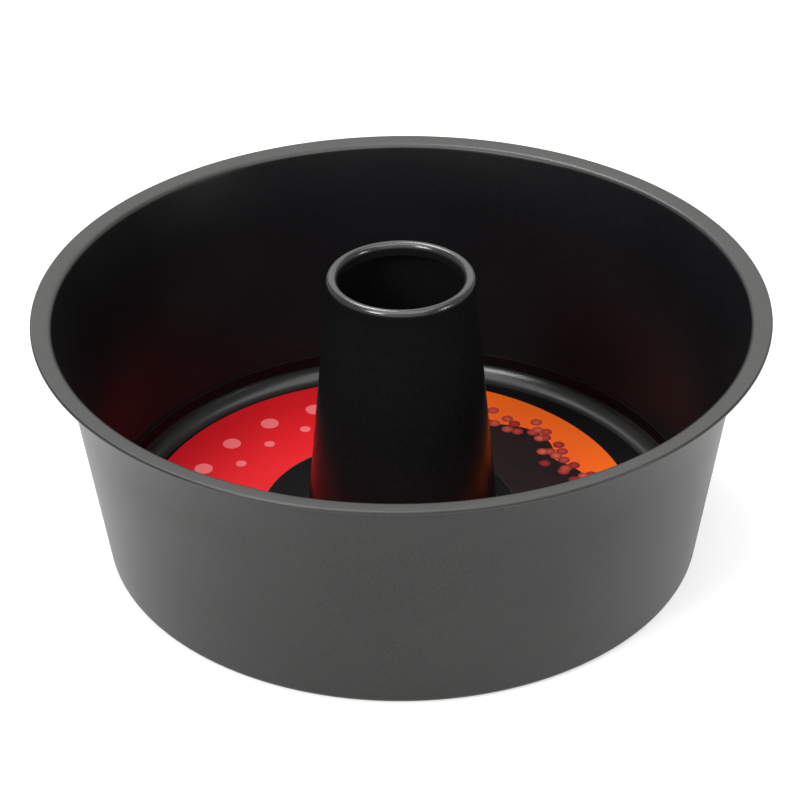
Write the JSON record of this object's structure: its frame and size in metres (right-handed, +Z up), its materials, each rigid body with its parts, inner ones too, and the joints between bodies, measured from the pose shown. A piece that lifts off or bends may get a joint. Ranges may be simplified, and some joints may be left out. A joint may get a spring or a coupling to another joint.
{
  "type": "angel food cake pan",
  "caption": "Round deep angel food cake pan with sloping side, flared and hemmed rim, lift-out dished bottom, tapered centre tube with a rolled mouth and a printed card ring.",
  "frame": {"origin": "centre of the plane that the pan stands on", "axes": "+Z up along the centre tube, +X to the right and +Y away from the viewer of the picture"},
  "size_m": [0.254, 0.254, 0.1025],
  "materials": {
    "coated_steel_ring": "satin non-stick coating, dark grey",
    "coated_steel_bottom": "satin non-stick coating, near black",
    "coated_steel_tube": "satin non-stick coating, near black",
    "printed_card": "printed, satin varnish"
  },
  "bodies": {
    "ring": {"outer_ring": "coated_steel_ring"},
    "bottom": {"base_plate": "coated_steel_bottom", "centre_tube": "coated_steel_tube"},
    "card": {"card_insert": "printed_card"}
  },
  "joints": [
    {"name": "bottom_lift", "type": "slide", "parent": "ring", "child": "bottom", "axis": [0, 0, 1], "range_m": [0, 0.1]},
    {"name": "card_lift", "type": "slide", "parent": "bottom", "child": "card", "axis": [0, 0, 1], "range_m": [0, 0.105]}
  ]
}
